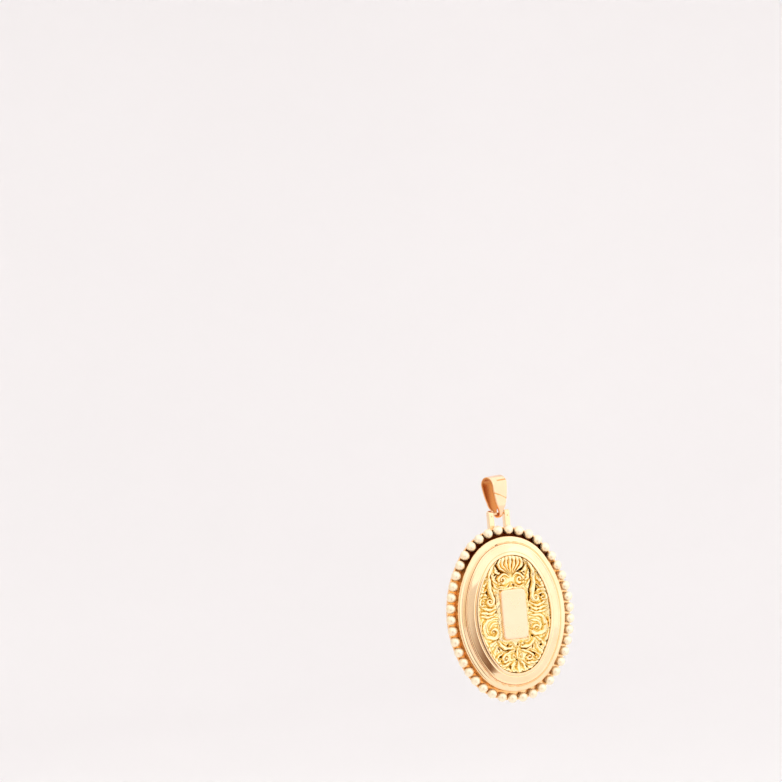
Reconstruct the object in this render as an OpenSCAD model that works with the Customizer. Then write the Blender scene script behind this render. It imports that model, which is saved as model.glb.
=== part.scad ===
// Oval gold pendant with a beaded edge, a pressed frame, a chased centre panel,
// a plain plaque and a folded bail. Millimetres, +Z up, the front faces -Y.
// The origin is the place inside the top of the bail where the chain runs.

/* [Outline] */
// Half width of the oval through the bead centres
bead_a = 14; // [13.8:0.1:14.4]
// Half height of the oval through the bead centres
bead_b = 18.6; // [18.4:0.1:19]
// Half width of the frame
frame_a = 12.75; // [12.5:0.05:12.9]
// Half height of the frame
frame_b = 17.25; // [17:0.05:17.5]

/* [Beads] */
// Number of beads round the edge
bead_count = 42; // [36:2:44]
// Diameter of one bead
bead_d = 2.14; // [1.8:0.02:2.2]
// How far the bead centres stand in front of the middle plane
bead_rise = 0.35; // [0.2:0.05:0.4]

/* [Back] */
// Level of the flange's front, negative behind the middle plane
flange_front = -0.55; // [-0.7:0.05:-0.4]
// Thickness of the flange
flange_t = 0.55; // [0.5:0.05:0.8]
// How far the flange reaches past the bead centres
flange_out = 0.55; // [0.3:0.05:0.8]
// Depth of the hollow back behind the middle plane
back_depth = 2.8; // [2.4:0.1:3.4]
// Wall of the hollow back
back_wall = 0.4; // [0.35:0.05:0.6]

/* [Frame and panel] */
// Thickness of the frame's sheet
rim_t = 0.42; // [0.35:0.01:0.5]
// Level of the panel's ground in front of the middle plane
panel_top = 2.2; // [2:0.05:2.3]
// Thickness of the panel's sheet
panel_t = 0.45; // [0.4:0.05:0.5]
// Gap between pieces that lie on each other
seat_gap = 0.04; // [0.02:0.01:0.06]

/* [Plaque] */
// Width of the plaque's face
plaque_w = 5.9; // [5.4:0.1:6.2]
// Height of the plaque's face
plaque_h = 11; // [10:0.1:11.4]
// Corner radius of the plaque's face
plaque_r = 1; // [0.6:0.1:1.4]
// How far the plaque's foot spreads past its face
plaque_flare = 0.3; // [0.2:0.05:0.4]
// Level of the plaque's face in front of the middle plane
plaque_top = 3.05; // [2.8:0.05:3.2]

/* [Bail] */
// Distance from the chain's seat down to the pin
pin_drop = 7.85; // [7.6:0.05:8]
// Diameter of the pin
pin_d = 0.6; // [0.5:0.02:0.64]
// Thickness of the bail's strap
strap_t = 0.6; // [0.5:0.05:0.7]
// Angle by which the loose bail hangs turned on its pin
bail_turn = 23; // [0:1:23]
// Angle by which the loose bail leans to one side on its pin
bail_lean = 3; // [0:0.5:3]
// Distance from the pin down to the middle of the oval
drop = 22.15; // [22:0.05:22.6]
// How far the pin lies behind the middle plane
pin_back = 2; // [1.9:0.05:2.1]

/* [Ears] */
// Clear width between the two ears
ear_gap = 2.5; // [2.4:0.05:2.6]
// Thickness of one ear
ear_t = 1.24; // [1:0.02:1.4]
// Depth of one ear from front to back
ear_d = 1.6; // [1.4:0.05:1.6]

/* [Hidden] */
$fn = 96;
gold = [0.93, 0.76, 0.42];
pale_gold = [0.97, 0.86, 0.6];
red_gold = [0.85, 0.6, 0.38];

// Clearance of the pin in the ears
pin_play = 0.02;
// Foot of the frame and of the panel's skirt, just clear of the flange
foot = flange_front + seat_gap;
flange_back = flange_front - flange_t;
// The frame's inner wall ends just above the panel
wall_end = panel_top + seat_gap;
// Edge of the panel, measured inwards from the frame's edge
panel_edge = 3.35;
// Inner edge of the flange, where the hollow back opens behind the panel
flange_open = 4.5;
// Round edge of the hollow back
back_edge_r = 0.9;
// Round seat of the pin at the bottom of the bail, and the level of its centre
seat_r = 0.6;
seat_level = 0.19 - pin_drop;

// An oval is four arcs. The centres of a side arc and an end arc lie 4 and 3
// steps from the middle, so the arcs meet on the slope of a 3-4-5 triangle.
function oval_step(a, b) = (b - a) / 2;
function side_r(a, b) = a + 4 * oval_step(a, b);
function end_r(a, b) = b - 3 * oval_step(a, b);
// Angle above the horizontal where a side arc meets an end arc
arc_split = atan2(3, 4);
function arc_len(r, angle) = r * angle * PI / 180;
function end_len(a, b) = arc_len(end_r(a, b), 90 - arc_split);
function quarter_len(a, b) = end_len(a, b) + arc_len(side_r(a, b), arc_split);

// Point at a distance d from the top of the oval, along its first quarter
function quarter_point(a, b, d) =
    let (step = oval_step(a, b), r = end_r(a, b), big = side_r(a, b),
         top_turn = 90 - d * 180 / (PI * r),
         side_turn = arc_split - (d - end_len(a, b)) * 180 / (PI * big))
    d < end_len(a, b) ? [r * cos(top_turn), 3 * step + r * sin(top_turn)]
                      : [big * cos(side_turn) - 4 * step, big * sin(side_turn)];

// Point at a distance s from the top, all the way round
function oval_point(a, b, s) =
    let (q = quarter_len(a, b), k = floor(s / q), d = s - k * q,
         p = quarter_point(a, b, k % 2 == 0 ? d : q - d))
    [k < 2 ? p[0] : -p[0], k == 0 || k == 3 ? p[1] : -p[1]];

// Sweeps a profile round an oval. The profile's x is the distance outside
// the oval's line and its y is the level towards the front. Each arc is a
// full ring, cut to its own wedge.
module oval_sweep(a, b) {
    step = oval_step(a, b);
    far = 10;
    out = 4 * far;
    up = 3 * (step + far);
    for (side = [-1, 1]) intersection() {
        translate([-side * 4 * step, 0]) rotate_extrude() translate([side_r(a, b), 0]) children();
        translate([0, 0, -far]) linear_extrude(2 * far)
            polygon([[0, 3 * step], [side * out, up], [side * out, -up], [0, -3 * step]]);
    }
    for (end = [-1, 1]) intersection() {
        translate([0, end * 3 * step]) rotate_extrude() translate([end_r(a, b), 0]) children();
        translate([0, 0, -far]) linear_extrude(2 * far)
            polygon([[0, end * 3 * step], [out, end * up], [-out, end * up]]);
    }
}

// Flat oval plate from one level to another: a swept edge round a prism
module oval_plate(a, b, low, high) {
    edge = 2.5;
    steps = 48;
    inner = edge / 2;
    total = 4 * quarter_len(a - inner, b - inner);
    oval_sweep(a, b) translate([-edge, low]) square([edge, high - low]);
    translate([0, 0, low]) linear_extrude(high - low)
        polygon([for (i = [0 : steps - 1]) oval_point(a - inner, b - inner, total * i / steps)]);
}

// Stands the flat drawing of the pendant up, hanging below the pin
module hang() {
    translate([0, -pin_back, -pin_drop - drop]) rotate([90, 0, 0]) children();
}

module rounded_plate(w, h, r, t) {
    linear_extrude(t) union() {
        square([w - 2 * r, h], center = true);
        square([w, h - 2 * r], center = true);
        for (x = [-1, 1], y = [-1, 1]) translate([x * (w / 2 - r), y * (h / 2 - r)]) circle(r);
    }
}

// Outer shell of the back: flange, then a shallow tray with a round edge
module back_body() {
    overlap = 0.1;
    tray_a = frame_a - back_edge_r;
    tray_b = frame_b - back_edge_r;
    oval_plate(bead_a + flange_out, bead_b + flange_out, flange_back, flange_front);
    oval_plate(tray_a, tray_b, -back_depth, flange_back + overlap);
    oval_sweep(frame_a, frame_b) translate([-back_edge_r, back_edge_r - back_depth]) {
        circle(back_edge_r);
        square([back_edge_r, back_depth - back_edge_r + flange_back + overlap]);
    }
}

module back_hollow() {
    overlap = 0.1;
    oval_plate(frame_a - back_edge_r, frame_b - back_edge_r, back_wall - back_depth, flange_back);
    oval_plate(frame_a - flange_open, frame_b - flange_open, flange_back - overlap, flange_front + overlap);
}

module beads() {
    total = 4 * quarter_len(bead_a, bead_b);
    translate([0, 0, bead_rise]) for (i = [0 : bead_count - 1])
        translate(oval_point(bead_a, bead_b, total * (i + 0.5) / bead_count)) sphere(d = bead_d);
}

// An ear is an upright lug with a round top and a foot behind the flange.
// It is drawn in the hanging position, about the pin.
module ear(side) {
    foot_down = 5.2;
    dimple_d = 0.36;
    dimple_depth = 0.3;
    dimple_down = 0.5;
    middle = side * (ear_gap + ear_t) / 2;
    difference() {
        union() {
            translate([middle, 0, 0]) rotate([0, 90, 0]) cylinder(d = ear_d, h = ear_t, center = true);
            translate([middle - ear_t / 2, -ear_d / 2, -foot_down]) cube([ear_t, ear_d, foot_down]);
        }
        rotate([0, 90, 0]) cylinder(d = pin_d + 2 * pin_play, h = 3 * (ear_gap + ear_t), center = true);
        translate([middle, dimple_depth - ear_d / 2, -dimple_down]) rotate([90, 0, 0])
            cylinder(d = dimple_d, h = ear_d);
    }
}

module back_plate() {
    color(gold) union() {
        hang() difference() {
            back_body();
            back_hollow();
        }
        hang() beads();
        for (side = [-1, 1]) translate([0, 0, -pin_drop]) ear(side);
    }
}

// Section of the pressed frame, from its foot over the outer roll, a cove and
// the wide sloping band to the lip, down the inner wall and back along the
// inside. Each row holds [distance outside the oval, level].
module rim_section() {
    edge = -0.1;
    roll_r = 0.4;
    roll_level = 1;
    outer = [[edge, foot], [edge, roll_level], [edge - roll_r, roll_level + roll_r]];
    cove = [[-0.95, 1.42], [-1.15, 1.54], [-1.35, 1.8], [-1.52, 2.1], [-1.62, 2.04]];
    band = [[-1.72, 2.2], [-1.98, 2.28], [-2.6, 2.52], [-3.5, 2.9], [-3.56, 2.86]];
    lip = [[-3.62, 3.1], [-4.2, 3.28], [-4.35, wall_end], [-3.95, wall_end], [-3.9, 2.62]];
    inside = [[-3.5, 2.44], [-2.04, 1.78], [-1.7, 1.6], [-1.15, 1], [edge - rim_t, 0.96], [edge - rim_t, foot]];
    polygon(concat(outer, cove, band, lip, inside));
    translate([edge - roll_r, roll_level]) circle(roll_r);
}

module frame_rim() {
    color(pale_gold) hang() oval_sweep(frame_a, frame_b) rim_section();
}

// A scroll is a run of arcs, each smooth with the last, with a small knuckle
// where they meet. Each row of arcs holds [radius, turn], where a positive
// turn bends to the left.
module scroll(arcs, wire, i = 0) {
    knuckle = 1.12;
    sphere(knuckle * wire);
    if (i < len(arcs)) {
        radius = arcs[i][0];
        turn = arcs[i][1];
        side = sign(turn);
        translate([-side * radius, 0, 0]) {
            rotate(side > 0 ? 0 : 180 + turn) rotate_extrude(angle = abs(turn))
                translate([radius, 0]) circle(wire);
            rotate(turn) translate([side * radius, 0, 0]) scroll(arcs, wire, i + 1);
        }
    }
}

// Fan of flutes that spread from the hinge of the shell
module shell() {
    flutes = 7;
    spread = 17;
    start = 0.5;
    inner_r = 0.16;
    outer_r = 0.4;
    long = 3.2;
    sphere(0.42);
    for (i = [0 : flutes - 1]) {
        off = i - (flutes - 1) / 2;
        flute_len = long - 0.14 * off * off;
        rotate(-off * spread) {
            translate([0, start, 0]) rotate([-90, 0, 0])
                cylinder(r1 = inner_r, r2 = outer_r, h = flute_len - start);
            translate([0, flute_len, 0]) sphere(1.05 * outer_r);
        }
    }
}

// The main scrolls, each placed by where it starts and which way it heads.
// Each row holds [x, y, heading, arcs, wire] and stands for a mirrored pair.
module ornament() {
    wide = 0.4;
    wire = 0.32;
    fine = 0.25;
    rows = [
        [-3.7, 10.9, 138, [[6.5, 42], [12.5, 22], [0.75, -200]], wide],
        [-0.9, 8.3, 75, [[0.9, 170], [0.55, 120]], fine],
        [-7.1, 5.2, -100, [[3, 30], [0.75, 190]], fine],
        [-5.35, -0.8, 100, [[2.1, 150], [1.2, 90]], wide],
        [-5.9, -5.6, -150, [[3.2, 40], [0.6, 180]], fine],
        [-0.8, -7.2, 110, [[2.4, 60], [0.9, 210]], wire],
        [-4.3, -7.4, -160, [[2.6, 60], [0.6, 170]], fine],
        [-0.5, -10.6, 70, [[1.5, 60], [0.7, 200]], fine]
    ];
    translate([0, 9, 0]) shell();
    for (row = rows, flip = [0, 1]) mirror([flip, 0, 0])
        translate([row[0], row[1], 0]) rotate(row[2]) scroll(row[3], row[4]);
}

module relief_panel() {
    a = frame_a - panel_edge;
    b = frame_b - panel_edge;
    skirt_t = 0.4;
    color(gold) hang() {
        oval_plate(a, b, panel_top - panel_t, panel_top);
        oval_sweep(a, b) translate([-skirt_t, foot]) square([skirt_t, panel_top - foot]);
        translate([0, 0, panel_top]) ornament();
    }
}

module plaque() {
    face_t = 0.5;
    foot_t = 0.15;
    low = panel_top + seat_gap;
    wide = plaque_w + 2 * plaque_flare;
    high = plaque_h + 2 * plaque_flare;
    color(pale_gold) hang() {
        translate([0, 0, plaque_top - face_t]) rounded_plate(plaque_w, plaque_h, plaque_r, face_t);
        hull() {
            translate([0, 0, plaque_top - face_t])
                rounded_plate(plaque_w, plaque_h, plaque_r, foot_t, $fn = 32);
            translate([0, 0, low]) rounded_plate(wide, high, plaque_r + plaque_flare, foot_t, $fn = 32);
        }
    }
}

module bail_pin() {
    color(gold) translate([0, 0, -pin_drop]) rotate([0, 90, 0])
        cylinder(d = pin_d, h = ear_gap + 2 * ear_t, center = true);
}

// Slope of the line that touches two circles on one upright line, upper first
function lean(upper, lower) = asin((upper[1] - lower[1]) / (upper[0] - lower[0]));

// Points along an arc about [0, level]
function arc_points(level, r, from, to, steps) =
    [for (i = [0 : steps]) let (t = from + (to - from) * i / steps) [r * cos(t), level + r * sin(t)]];

// Side view of the bail's loop, a round top that draws in to the pin.
// grow is added to every radius, so the same form gives the strap's outside.
// Each circle holds [level, radius], the top one first.
module loop_side(grow) {
    circles = [[-1.4, 1.4], [-3.6, 1.3], [-6.2, 1.1], [seat_level, seat_r]];
    last = len(circles) - 1;
    right = [for (i = [0 : last])
        let (from = i == 0 ? 90 : -lean(circles[i - 1], circles[i]),
             to = i == last ? -90 : -lean(circles[i], circles[i + 1]),
             steps = ceil((from - to) / 7))
        each arc_points(circles[i][0], circles[i][1] + grow, from, to, steps)];
    left = [for (i = [len(right) - 2 : -1 : 1]) [-right[i][0], right[i][1]]];
    polygon(concat(right, left));
}

// Front view of the strap, widest at the top, with shoulders above the pin.
// Each row holds [half width, level].
module strap_front() {
    rows = [[2.15, 1], [2.15, -1.2], [2.02, -2.6], [1.75, -4.2], [1.35, -5.6], [0.95, -6.5], [0.58, -7.1], [0.42, -7.6],
            [0.4, -9.5]];
    right = [for (p = rows) p];
    left = [for (i = [len(rows) - 1 : -1 : 0]) [-rows[i][0], rows[i][1]]];
    polygon(concat(right, left));
}

module bail() {
    wide = 6;
    color(red_gold) translate([0, 0, -pin_drop]) rotate([0, -bail_lean, 0]) translate([0, 0, pin_drop])
        rotate(bail_turn) intersection() {
            rotate([90, 0, 90]) linear_extrude(wide, center = true) difference() {
                loop_side(strap_t);
                loop_side(0);
            }
            rotate([90, 0, 0]) linear_extrude(wide, center = true) strap_front();
        }
}

back_plate();
frame_rim();
relief_panel();
plaque();
bail_pin();
bail();
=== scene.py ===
import math
import bmesh
import bpy
import numpy as np
from mathutils import Matrix, Vector


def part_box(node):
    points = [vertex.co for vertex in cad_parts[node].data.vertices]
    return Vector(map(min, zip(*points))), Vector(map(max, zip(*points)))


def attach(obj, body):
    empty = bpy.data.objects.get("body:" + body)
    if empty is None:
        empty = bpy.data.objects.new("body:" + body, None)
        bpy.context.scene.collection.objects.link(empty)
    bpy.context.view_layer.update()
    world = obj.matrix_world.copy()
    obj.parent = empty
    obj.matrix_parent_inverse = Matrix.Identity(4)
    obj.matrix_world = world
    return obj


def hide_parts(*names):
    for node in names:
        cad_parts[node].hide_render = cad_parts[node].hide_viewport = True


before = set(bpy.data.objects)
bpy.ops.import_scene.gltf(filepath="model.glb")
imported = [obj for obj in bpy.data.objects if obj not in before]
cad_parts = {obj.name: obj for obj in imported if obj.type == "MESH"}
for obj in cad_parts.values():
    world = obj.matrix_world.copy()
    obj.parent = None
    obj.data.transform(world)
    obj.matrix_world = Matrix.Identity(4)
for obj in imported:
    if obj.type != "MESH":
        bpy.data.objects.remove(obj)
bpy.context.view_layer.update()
print("frame loaded")

# The pendant is drawn flat in millimetres, x to the right, y up and z towards the front, round the middle
# of the ring of beads. standUp hangs that drawing where the frame has it. The bail, its pin and the ears
# are drawn upright in millimetres, with y to the back.
mm = 0.001
beadRadius = 1.07
beadRise = 0.35
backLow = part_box("back_plate")[0]
rimLow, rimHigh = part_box("frame_rim")
pinLow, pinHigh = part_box("bail_pin")
ovalMiddle = Vector((0, backLow.y + (beadRadius + beadRise) * mm, (rimLow.z + rimHigh.z) / 2))
pinMiddle = (pinLow + pinHigh) / 2
standUp = Matrix.Translation(ovalMiddle) @ Matrix.Rotation(math.radians(90), 4, "X") @ Matrix.Scale(mm, 4)
atPin = Matrix.Translation(pinMiddle) @ Matrix.Scale(mm, 4)
beadOval = (14.0, 18.6)      # half width and half height of the line through the bead centres
frameOval = (12.75, 17.25)   # the same for the edge of the pressed frame


# Hex text to linear colour
def hexColour(text):
    parts = [int(text[i:i + 2], 16) / 255 for i in (1, 3, 5)]
    return [c / 12.92 if c <= 0.04045 else ((c + 0.055) / 1.055) ** 2.4 for c in parts] + [1.0]


# Adds a node; a setting or link goes to the input of that name or number, and stops fill a colour ramp
def addNode(tree, kind, settings, links=None):
    node = tree.nodes.new("ShaderNode" + kind)
    for key, value in settings.items():
        if key == "stops":
            ramp = node.color_ramp
            while len(ramp.elements) < len(value):
                ramp.elements.new(0.5)
            for element, (place, colour) in zip(ramp.elements, value):
                element.position = place
                element.color = hexColour(colour)
        elif isinstance(key, int) or key in node.inputs:
            node.inputs[key].default_value = value
        else:
            setattr(node, key, value)
    for key, socket in (links or {}).items():
        tree.links.new(socket, node.inputs[key])
    return node


def noise(tree, where, size, detail):
    return addNode(tree, "TexNoise", {"Scale": 1 / size, "Detail": detail}, {"Vector": where}).outputs["Fac"]


def ramp(tree, stops, share):
    return addNode(tree, "ValToRGB", {"stops": stops}, {"Fac": share}).outputs["Color"]


def mapRange(tree, value, low, high, start=0, end=1):
    return addNode(tree, "MapRange", {"From Min": low, "From Max": high, "To Min": start, "To Max": end},
                   {"Value": value}).outputs["Result"]


def surface(tree, shader):
    addNode(tree, "OutputMaterial", {}, {"Surface": shader.outputs[0]})


def newMaterial(name):
    material = bpy.data.materials.new(name)
    material.use_nodes = True
    tree = material.node_tree
    tree.nodes.clear()
    return material, tree


# 14 ct yellow gold, worked, soldered and then polished on a felt wheel. The wheel leaves a near mirror with
# a faint unevenness of a few millimetres, hairlines about a tenth of a millimetre apart, and wear that
# dulls it a little in patches.
goldMarks = dict(patch=3.5, wave=2.6, line=0.6,      # sizes in millimetres
                 closer=6, slant=25)                 # how much closer the hairlines lie, and their slope


def polishedGold(name, colours, roughness, lineDepth, waveDepth, recess=None):
    material, tree = newMaterial(name)
    where = addNode(tree, "TexCoord", {}).outputs["Object"]
    patches = noise(tree, where, goldMarks["patch"] * mm, 4.0)
    across = addNode(tree, "Mapping", {"Scale": (1, 1, goldMarks["closer"]),
                                       "Rotation": (0, math.radians(goldMarks["slant"]), 0)},
                     {"Vector": where}).outputs["Vector"]
    lines = noise(tree, across, goldMarks["line"] * mm, 3.0)
    waves = noise(tree, where, goldMarks["wave"] * mm, 1.0)
    colour = ramp(tree, [(0.35, colours[0]), (0.65, colours[1])], patches)
    # The recess attribute darkens the colour: tarnish, and painted shade in hollows, channels and the bail's
    # inside
    if recess:
        depth = addNode(tree, "Attribute", {"attribute_name": "recess"}).outputs["Fac"]
        colour = addNode(tree, "Mix", {"data_type": "RGBA", "blend_type": "MULTIPLY", 0: 1.0},
                         {6: colour, 7: ramp(tree, recess, depth)}).outputs[2]
        spread = mapRange(tree, depth, 0, 1, *roughness)
    else:
        spread = mapRange(tree, patches, 0.3, 0.7, *roughness)
    coarse = addNode(tree, "Bump", {"Strength": 1.0, "Distance": waveDepth * mm}, {"Height": waves})
    fine = addNode(tree, "Bump", {"Strength": 1.0, "Distance": lineDepth * mm},
                   {"Height": lines, "Normal": coarse.outputs["Normal"]})
    shader = addNode(tree, "BsdfPrincipled", {"Metallic": 1.0},
                     {"Base Color": colour, "Roughness": spread, "Normal": fine.outputs["Normal"]})
    surface(tree, shader)
    return material


# Pressed frame: the brightest polish; the outer of its two narrow grooves is darkened with tarnish and painted
# shade, the shade deepest at the left
frameGold = polishedGold("polishedYellowGold", ("#FFDEB2", "#FFE2BA"), (0.10, 0.17), 0.0012, 0.010,
                         [(0.0, "#FFFFFF"), (0.5, "#C88850"), (1.0, "#3A1C0C")])
# Plaque: hammered flat and rubbed by years of wear, so it has a satin sheen and blurs what it mirrors
plaqueGold = polishedGold("satinWornYellowGold", ("#FFD8B4", "#FFDCBA"), (0.24, 0.32), 0.0012, 0.006)
# Round beads: tumbled in a drum, which rounds off every mark and leaves them softly bright all over
beadGold = polishedGold("tumbledYellowGold", ("#FFEED2", "#FFF2DA"), (0.42, 0.50), 0.0008, 0.010)
# Back and flange: the flange beside the beads is darkened brown with painted shade, deeper at the left and
# towards the top
shellGold = polishedGold("flangeShadedYellowGold", ("#FFD6A6", "#FFDAAC"), (0.16, 0.30), 0.0016, 0.012,
                         [(0.0, "#FFFFFF"), (0.45, "#F4C88C"), (1.0, "#4A220C")])
# Chased panel: punched and chased from the front, its hollows never reached by the wheel, so they hold
# dark brown tarnish, deepened with painted shade where forms stand round them, while the tops are bright
chasedGold = polishedGold("chasedYellowGold", ("#FFEAB6", "#FFEEC0"), (0.20, 0.42), 0.0008, 0.006,
                          [(0.0, "#FFFFFF"), (0.3, "#FFF4C8"), (0.55, "#FCE298"), (0.8, "#BC8C3C"),
                           (1.0, "#3A220C")])
# Bail: a slightly redder alloy, filed and polished along its length, its inside left as it came from the file,
# so rougher, and darkened with painted shade
bailGold = polishedGold("polishedRoseGold", ("#FFD4AE", "#FFD9B4"), (0.16, 0.30), 0.0014, 0.010,
                        [(0.0, "#FFFFFF"), (0.45, "#F0C490"), (1.0, "#B47840")])
print("materials made")


def smoothStep(t):
    t = np.clip(t, 0, 1)
    return t * t * (3 - 2 * t)


def vertsOf(geom):
    return [g for g in geom if isinstance(g, bmesh.types.BMVert)]


# Spins or slides geometry in steps, joined to where it was, and gives back its last copy
def sweep(bm, geom, steps, centre=(0, 0, 0), axis=(1, 0, 0), turn=0, move=(0, 0, 0), closed=False):
    return bmesh.ops.spin(bm, geom=geom, cent=centre, axis=axis, dvec=move, angle=turn, steps=steps,
                          space=Matrix.Identity(4), use_merge=closed, use_normal_flip=False,
                          use_duplicate=False)["geom_last"]


def roundOff(bm, geom, size, segments, affect="VERTICES"):
    bmesh.ops.bevel(bm, geom=geom, offset=size, offset_type="OFFSET", segments=segments, profile=0.5,
                    affect=affect, material=-1)


# Round rod along z, or a tapered one, before it is placed
def addRod(bm, place, length, radius, sides, taper=1):
    bmesh.ops.create_cone(bm, cap_ends=True, cap_tris=False, segments=sides, radius1=radius,
                          radius2=radius * taper, depth=length, matrix=place)


# Extrudes a ring of edges, and gives back its new vertices and the new ring
def extrudeRing(bm, ring):
    made = bmesh.ops.extrude_edge_only(bm, edges=ring)["geom"]
    verts = vertsOf(made)
    fresh = set(verts)
    return verts, [g for g in made if isinstance(g, bmesh.types.BMEdge) and all(v in fresh for v in g.verts)]


# The arcs of an oval, clockwise from the top: centre, turn and radius. The centres lie 3 and 4 steps from
# the middle, so an end arc and a side arc meet on the slope of a 3-4-5 triangle.
def ovalArcs(half):
    step = (half[1] - half[0]) / 2
    split = math.atan2(3, 4)
    quarter = math.pi / 2 - split
    endRadius, sideRadius = half[1] - 3 * step, half[0] + 4 * step
    return [((0, 3 * step, 0), quarter, endRadius), ((-4 * step, 0, 0), 2 * split, sideRadius),
            ((0, -3 * step, 0), 2 * quarter, endRadius), ((4 * step, 0, 0), 2 * split, sideRadius),
            ((0, 3 * step, 0), quarter, endRadius)]


# Distance inside an oval's line, negative outside it
def ovalInset(x, y, half):
    step = (half[1] - half[0]) / 2
    x, y = np.abs(x), np.abs(y)
    atEnd = 3 * x < 4 * (y - 3 * step)
    toEnd = half[1] - 3 * step - np.hypot(x, y - 3 * step)
    toSide = half[0] + 4 * step - np.hypot(x + 4 * step, y)
    return np.where(atEnd, toEnd, toSide)


# Sweeps a closed profile round an oval. A row is the distance outside the oval's line, the level and the
# size of the round corner there.
def sweepOval(bm, rows, half, cell, segments=4):
    corners = [bm.verts.new((0, half[1] + out, level)) for out, level, corner in rows]
    for pair in zip(corners, corners[1:] + corners[:1]):
        bm.edges.new(pair)
    kept = set(bm.verts) - set(corners)
    for vert, (out, level, corner) in zip(corners, rows):
        if corner:
            roundOff(bm, [vert], corner, segments)
    verts = [v for v in bm.verts if v not in kept]
    geom = verts + list({edge for v in verts for edge in v.link_edges})
    for centre, turn, radius in ovalArcs(half):
        geom = sweep(bm, geom, round(radius * turn / cell), centre, (0, 0, -1), turn)
    verts = [v for v in bm.verts if v not in kept]
    bmesh.ops.remove_doubles(bm, verts=verts, dist=1e-4)


def newObject(name, bm, material):
    mesh = bpy.data.meshes.new(name)
    bm.to_mesh(mesh)
    bm.free()
    mesh.shade_smooth()
    mesh.materials.append(material)
    thing = bpy.data.objects.new(name, mesh)
    bpy.context.scene.collection.objects.link(thing)
    return thing


# Keeps flat faces flat beside rounded edges
def evenShading(piece, sharpFrom=50):
    piece.data.set_sharp_from_angle(angle=math.radians(sharpFrom))
    piece.modifiers.new("evenNormals", "WEIGHTED_NORMAL").keep_sharp = True


# Turns a drawn piece into an object in the frame
def finishPiece(name, bm, place, node, material, weighted=False):
    bmesh.ops.transform(bm, matrix=place, verts=bm.verts)
    bmesh.ops.recalc_face_normals(bm, faces=bm.faces)
    piece = newObject(name, bm, material)
    if weighted:
        evenShading(piece)
    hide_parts(node)
    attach(piece, "bail" if node == "bail" else "pendant")
    print("made", name)
    return piece


# Pressed frame: outer roll, a cove, the wide sloping band and the lip, then down the inner wall
pressedFrame = dict(
    cell=0.24,        # length of one facet round the oval
    outside=[(-0.1, -0.51, 0), (-0.1, 1.4, 0.4), (-0.95, 1.44, 0.1)],
    cove=[(-1.12, 1.52, 0.05), (-1.35, 1.8, 0.1), (-1.52, 2.12, 0.05), (-1.61, 1.98, 0.02)],
    band=[(-1.7, 2.2, 0.06), (-1.98, 2.3, 0.05), (-2.04, 2.24, 0.02), (-2.32, 2.385, 0), (-2.6, 2.52, 0),
          (-2.9, 2.655, 0), (-3.2, 2.78, 0), (-3.5, 2.895, 0)],
    lip=[(-3.56, 2.84, 0.02), (-3.6, 3.1, 0.08), (-4.2, 3.28, 0.12), (-4.35, 2.24, 0)],
    inside=[(-3.95, 2.24, 0), (-3.9, 2.62, 0), (-3.5, 2.44, 0), (-2.04, 1.78, 0), (-1.7, 1.6, 0),
            (-1.15, 1, 0), (-0.52, 0.96, 0), (-0.52, -0.51, 0)],
    # Groove darkened with tarnish and painted shade: distance in from the edge, half width, lowest level,
    # darkening in the middle line and how much it falls off to the right, where the painted shade ends
    groove=dict(inset=1.61, reach=0.04, above=1.9, tarnish=0.3, fall=0.5),
)
bm = bmesh.new()
layer = bm.verts.layers.float.new("recess")
sweepOval(bm, [row for part in ("outside", "cove", "band", "lip", "inside") for row in pressedFrame[part]],
          frameOval, pressedFrame["cell"])
groove = pressedFrame["groove"]
# Tarnish and painted shade in the groove, strongest at the left and gone at the right
for vert in bm.verts:
    away = abs(ovalInset(vert.co.x, vert.co.y, frameOval) - groove["inset"])
    if away < groove["reach"] and vert.co.z > groove["above"]:
        vert[layer] = max(0.0, groove["tarnish"] - groove["fall"] * vert.co.x / frameOval[0])
finishPiece("pressedFrame", bm, standUp, "frame_rim", frameGold)


# Back: flat flange that carries the beads, and the shallow hollow back behind it
backShell = dict(
    cell=0.4,
    flange=[(0.55, -0.55, 0.12), (0.2, -0.55, 0), (-0.5, -0.55, 0), (-1.6, -0.55, 0), (-5.9, -0.55, 0),
            (-5.9, -1.1, 0), (0.55, -1.1, 0.12)],
    tray=[(0, -1.0, 0), (0, -2.8, 0.9), (-4.0, -2.8, 0), (-9.6, -2.8, 0), (-9.6, -2.4, 0), (-0.4, -2.4, 0.5),
          (-0.4, -1.0, 0)],
    trayFloor=(-2.8, -2.4),       # levels of its outer and inner face
    trayHole=9.6,                 # how far in its floor is drawn before it is filled
    # Painted shade on the flange's face, between these distances in from the beads' line: how deep at the
    # right, how much more at the left, from where and over what width, and from where it deepens upwards
    flangeShade=dict(face=-0.6, band=(-0.25, 1.7), right=0.12, left=0.33, edge=3, fade=10, above=6, rise=7),
)
bm = bmesh.new()
layer = bm.verts.layers.float.new("recess")
sweepOval(bm, backShell["flange"], beadOval, backShell["cell"])
flangeShade = backShell["flangeShade"]
# Painted shade in the channel between beads and frame, deeper to the left and upwards
for vert in bm.verts:
    x, y, level = vert.co
    if level > flangeShade["face"] and flangeShade["band"][0] < ovalInset(x, y, beadOval) < flangeShade["band"][1]:
        side = flangeShade["right"] + flangeShade["left"] * smoothStep((flangeShade["edge"] - x) / flangeShade["fade"])
        vert[layer] = side + (1 - side) * smoothStep((y - flangeShade["above"]) / flangeShade["rise"])
sweepOval(bm, backShell["tray"], frameOval, backShell["cell"], 8)
# The tray's floor is still open in the middle
hole = backShell["trayHole"]
for level in backShell["trayFloor"]:
    inner = [e for e in bm.edges if all(abs(v.co.z - level) < 1e-4 for v in e.verts)
             and all(abs(ovalInset(v.co.x, v.co.y, frameOval) - hole) < 0.01 for v in e.verts)]
    bmesh.ops.contextual_create(bm, geom=inner)
finishPiece("backShell", bm, standUp, "back_plate", shellGold, weighted=True)


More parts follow.
